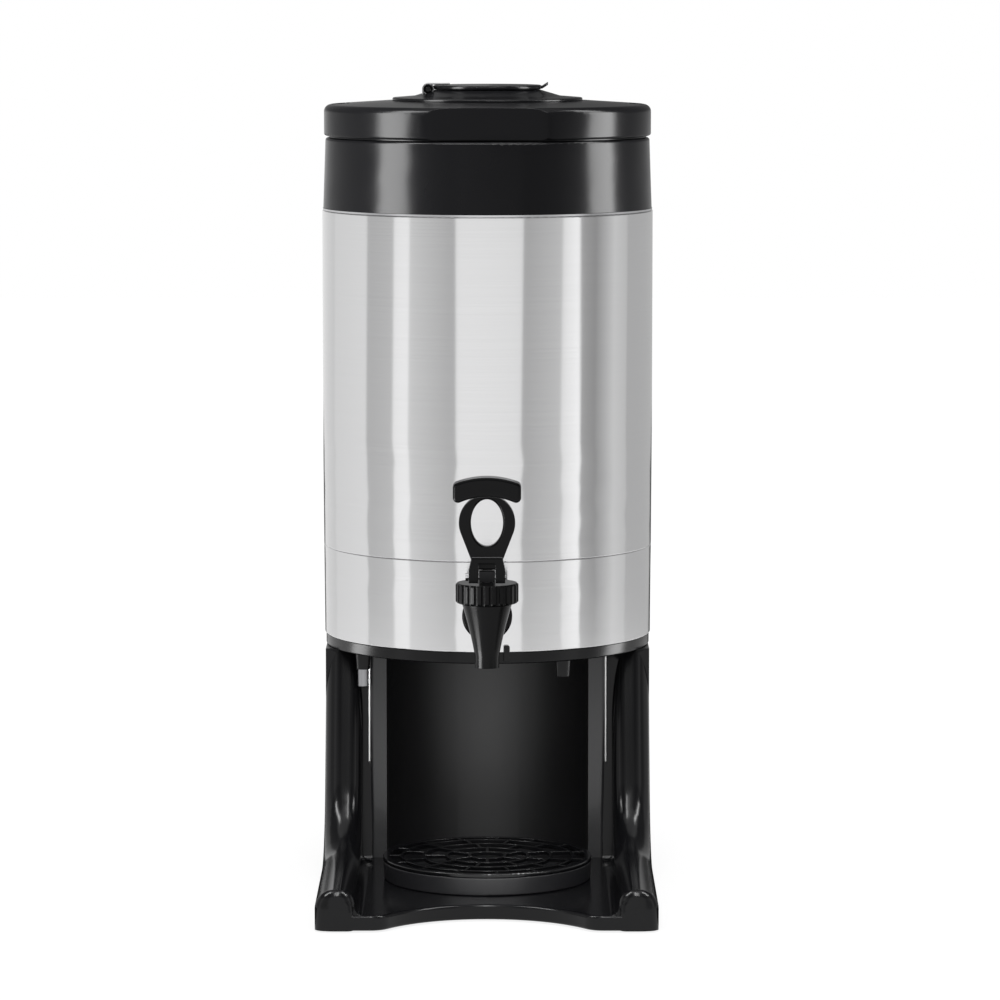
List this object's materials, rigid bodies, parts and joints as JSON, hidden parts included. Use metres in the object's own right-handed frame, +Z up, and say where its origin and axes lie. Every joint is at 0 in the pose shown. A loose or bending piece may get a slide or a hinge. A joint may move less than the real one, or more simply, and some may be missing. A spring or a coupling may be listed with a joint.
{
  "type": "coffee dispenser",
  "caption": "Insulated steel coffee dispenser on a black moulded stand, with a lift-off lid, sprung fill flap, pull-lever faucet and a slide-out drip tray with a grille.",
  "frame": {"origin": "bottom centre of the whole dispenser's box, on the floor under the rubber feet", "axes": "+Z up, -Y towards the faucet and the user, +X to the user's right"},
  "size_m": [0.23, 0.373, 0.548],
  "materials": {
    "stand_black": "gloss",
    "satin_black": "satin",
    "lid_black": "satin",
    "faucet_black": "semi-gloss",
    "rubber": "matt",
    "steel_brushed": "brushed",
    "steel_plain": "satin"
  },
  "bodies": {
    "dispenser": {"stand_moulding": "stand_black", "foot_front_left": "rubber", "foot_front_right": "rubber", "foot_rear_left": "rubber", "foot_rear_right": "rubber", "alcove_panel": "stand_black", "support_ring": "satin_black", "bottom_cover": "satin_black", "locking_stud": "steel_plain", "vessel_screw_right": "steel_plain", "vessel_screw_rear": "steel_plain", "lower_band": "steel_brushed", "outer_shell": "steel_brushed", "inner_liner": "steel_plain", "neck_collar": "lid_black", "neck_seal": "rubber", "faucet_body": "faucet_black", "faucet_flange": "faucet_black", "outer_washer": "rubber", "inner_washer": "rubber", "shank_nut": "faucet_black", "bonnet": "faucet_black", "stem_spring": "steel_plain"},
    "lid": {"lid_cap": "lid_black", "lid_plug": "lid_black", "lid_seal": "rubber", "fill_funnel": "lid_black", "mixing_tube": "satin_black", "hinge_pin": "steel_plain", "flap_spring": "steel_plain"},
    "flap": {"fill_flap": "lid_black"},
    "stem": {"lift_stem": "steel_plain", "seat_cup": "rubber", "lever_pin": "steel_plain"},
    "handle": {"lever": "faucet_black"},
    "tray": {"drip_tray": "stand_black"},
    "grille": {"drip_grille": "satin_black"}
  },
  "joints": [
    {"name": "lid_lift", "type": "slide", "parent": "dispenser", "child": "lid", "axis": [0, 0, 1], "range_m": [0, 0.32]},
    {"name": "flap_open", "type": "hinge", "parent": "lid", "child": "flap", "pos_m": [-0.041, 0.0715, 0.5433], "axis": [0, -1, 0], "range_deg": [0, 105], "stiffness_Nm_per_rad": 0.04, "springref_deg": -17.19, "deforming": ["flap_spring"]},
    {"name": "stem_lift", "type": "slide", "parent": "dispenser", "child": "stem", "axis": [0, 0, 1], "range_m": [0, 0.0047], "stiffness_N_per_m": 800, "springref_m": -0.006, "deforming": ["stem_spring"]},
    {"name": "handle_pull", "type": "hinge", "parent": "stem", "child": "handle", "pos_m": [0, -0.0755, 0.2201], "axis": [1, 0, 0], "range_deg": [0, 40]},
    {"name": "tray_slide", "type": "slide", "parent": "dispenser", "child": "tray", "axis": [0, -1, 0], "range_m": [0, 0.16]},
    {"name": "grille_lift", "type": "slide", "parent": "tray", "child": "grille", "axis": [0, 0, 1], "range_m": [0, 0.08]}
  ],
  "couplings": [
    {"joint": "handle_pull", "follows": "stem_lift", "rad_per_m": 147.06}
  ]
}
